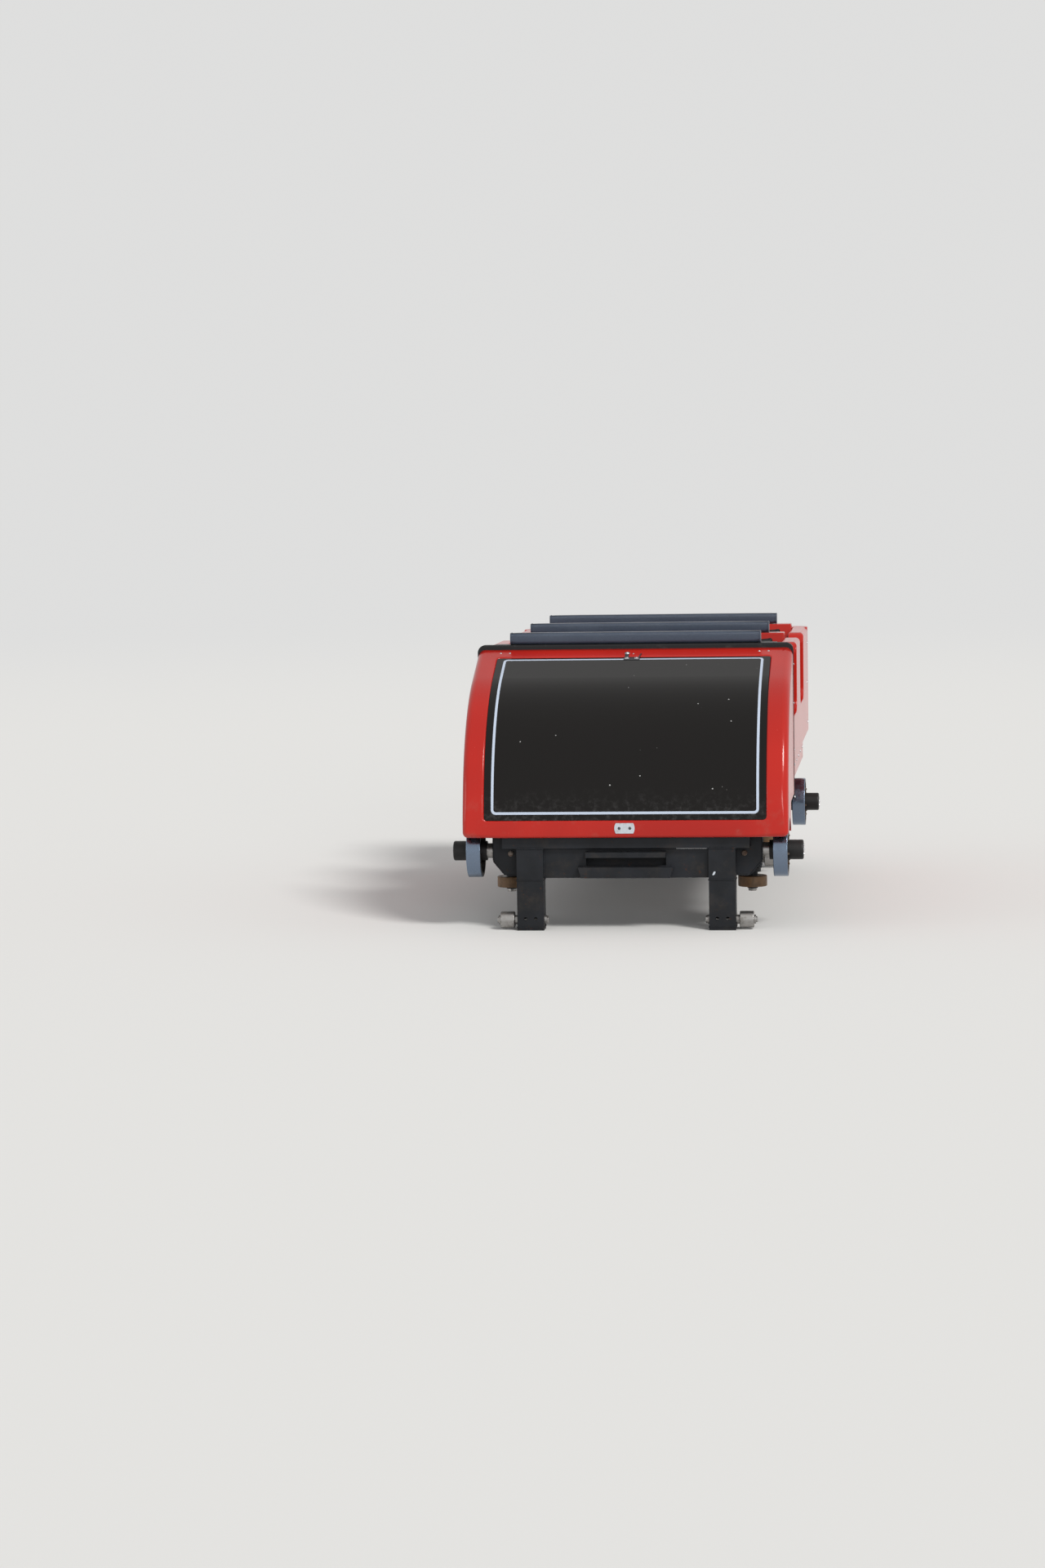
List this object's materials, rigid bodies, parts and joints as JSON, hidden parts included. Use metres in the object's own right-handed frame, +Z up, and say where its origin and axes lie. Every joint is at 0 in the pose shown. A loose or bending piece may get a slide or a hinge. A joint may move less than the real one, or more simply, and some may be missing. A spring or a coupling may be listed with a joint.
{
  "type": "roller coaster car",
  "caption": "Lead car of a wooden roller coaster: red body with a curved black nose panel, bench rows with lap bars, steel underframe with running, guide and up-stop wheels.",
  "frame": {"origin": "middle of the bounding box on the floor under the four feet", "axes": "+Y from the nose to the drawbar, +Z up, +X to the left of the riders"},
  "size_m": [1.32, 2.67, 1.092],
  "materials": {
    "body_red": "glossy red gel coat",
    "panel_black": "glossy black panel",
    "trim_black": "black moulding",
    "pad_vinyl": "dark vinyl",
    "seat_vinyl": "black vinyl",
    "plate_silver": "satin",
    "floor_grey": "ribbed non-slip floor",
    "frame_black": "worn black paint",
    "bright_steel": "polished by running",
    "bar_steel": "satin steel tube",
    "bar_foam": "black foam cover",
    "tyre_guide": "brown polyurethane",
    "worn_iron": "worn bare iron"
  },
  "bodies": {
    "car": {"nose_shell": "body_red", "nose_panel": "panel_black", "screw_plate": "plate_silver", "seam_edging": "trim_black", "dash_bulkhead": "panel_black", "dash_cap": "trim_black", "dash_pad": "pad_vinyl", "side_wall_left": "body_red", "side_wall_right": "body_red", "rear_shell": "body_red", "floor_pan": "floor_grey", "seat_shell_front": "body_red", "seat_shell_rear": "body_red", "seat_cushions": "seat_vinyl", "back_cushions": "seat_vinyl", "seat_back_pads": "pad_vinyl", "lap_bar_lugs": "frame_black", "chassis_rails": "frame_black", "cross_members": "frame_black", "axle_beams": "frame_black", "axle_stubs": "bright_steel", "up_stop_legs": "frame_black", "roller_pins": "bright_steel", "guide_brackets": "frame_black", "front_plate": "frame_black", "rear_plate": "frame_black", "wear_plates": "worn_iron"},
    "running_front_left": {"wheel_front_left": "bright_steel"},
    "upstop_front_left": {"roller_front_left": "bright_steel"},
    "guide_front_left_body": {"guide_front_left": "tyre_guide"},
    "running_front_right": {"wheel_front_right": "bright_steel"},
    "upstop_front_right": {"roller_front_right": "bright_steel"},
    "guide_front_right_body": {"guide_front_right": "tyre_guide"},
    "running_rear_left": {"wheel_rear_left": "bright_steel"},
    "upstop_rear_left": {"roller_rear_left": "bright_steel"},
    "guide_rear_left_body": {"guide_rear_left": "tyre_guide"},
    "running_rear_right": {"wheel_rear_right": "bright_steel"},
    "upstop_rear_right": {"roller_rear_right": "bright_steel"},
    "guide_rear_right_body": {"guide_rear_right": "tyre_guide"},
    "restraint_front": {"lap_bar_front": "bar_steel", "lap_pads_front": "bar_foam"},
    "restraint_rear": {"lap_bar_rear": "bar_steel", "lap_pads_rear": "bar_foam"},
    "towbar": {"drawbar": "frame_black"},
    "dog": {"chain_dog": "worn_iron"}
  },
  "joints": [
    {"name": "running_front_left_spin", "type": "hinge", "parent": "car", "child": "running_front_left", "pos_m": [-0.576, -1.183, 0.29], "axis": [1, 0, 0], "continuous": true},
    {"name": "upstop_front_left_spin", "type": "hinge", "parent": "car", "child": "upstop_front_left", "pos_m": [-0.4495, -1.262, 0.037], "axis": [1, 0, 0], "continuous": true},
    {"name": "guide_front_left_spin", "type": "hinge", "parent": "car", "child": "guide_front_left_body", "pos_m": [-0.46, -1.018, 0.155], "axis": [0, 0, 1], "continuous": true},
    {"name": "running_front_right_spin", "type": "hinge", "parent": "car", "child": "running_front_right", "pos_m": [0.576, -1.183, 0.29], "axis": [1, 0, 0], "continuous": true},
    {"name": "upstop_front_right_spin", "type": "hinge", "parent": "car", "child": "upstop_front_right", "pos_m": [0.4495, -1.262, 0.037], "axis": [1, 0, 0], "continuous": true},
    {"name": "guide_front_right_spin", "type": "hinge", "parent": "car", "child": "guide_front_right_body", "pos_m": [0.46, -1.018, 0.155], "axis": [0, 0, 1], "continuous": true},
    {"name": "running_rear_left_spin", "type": "hinge", "parent": "car", "child": "running_rear_left", "pos_m": [-0.576, 0.767, 0.29], "axis": [1, 0, 0], "continuous": true},
    {"name": "upstop_rear_left_spin", "type": "hinge", "parent": "car", "child": "upstop_rear_left", "pos_m": [-0.4495, 0.846, 0.037], "axis": [1, 0, 0], "continuous": true},
    {"name": "guide_rear_left_spin", "type": "hinge", "parent": "car", "child": "guide_rear_left_body", "pos_m": [-0.46, 0.602, 0.155], "axis": [0, 0, 1], "continuous": true},
    {"name": "running_rear_right_spin", "type": "hinge", "parent": "car", "child": "running_rear_right", "pos_m": [0.576, 0.767, 0.29], "axis": [1, 0, 0], "continuous": true},
    {"name": "upstop_rear_right_spin", "type": "hinge", "parent": "car", "child": "upstop_rear_right", "pos_m": [0.4495, 0.846, 0.037], "axis": [1, 0, 0], "continuous": true},
    {"name": "guide_rear_right_spin", "type": "hinge", "parent": "car", "child": "guide_rear_right_body", "pos_m": [0.46, 0.602, 0.155], "axis": [0, 0, 1], "continuous": true},
    {"name": "lap_bar_front_swing", "type": "hinge", "parent": "car", "child": "restraint_front", "pos_m": [0, -0.593, 0.66], "axis": [1, 0, 0], "range_deg": [0, 42]},
    {"name": "lap_bar_rear_swing", "type": "hinge", "parent": "car", "child": "restraint_rear", "pos_m": [0, 0.187, 0.66], "axis": [1, 0, 0], "range_deg": [0, 42]},
    {"name": "drawbar_yaw", "type": "hinge", "parent": "car", "child": "towbar", "pos_m": [0, 0.951, 0.257], "axis": [0, 0, 1], "range_deg": [-25, 25]},
    {"name": "chain_dog_swing", "type": "hinge", "parent": "car", "child": "dog", "pos_m": [0, -0.203, 0.31], "axis": [1, 0, 0], "range_deg": [0, 40]}
  ]
}
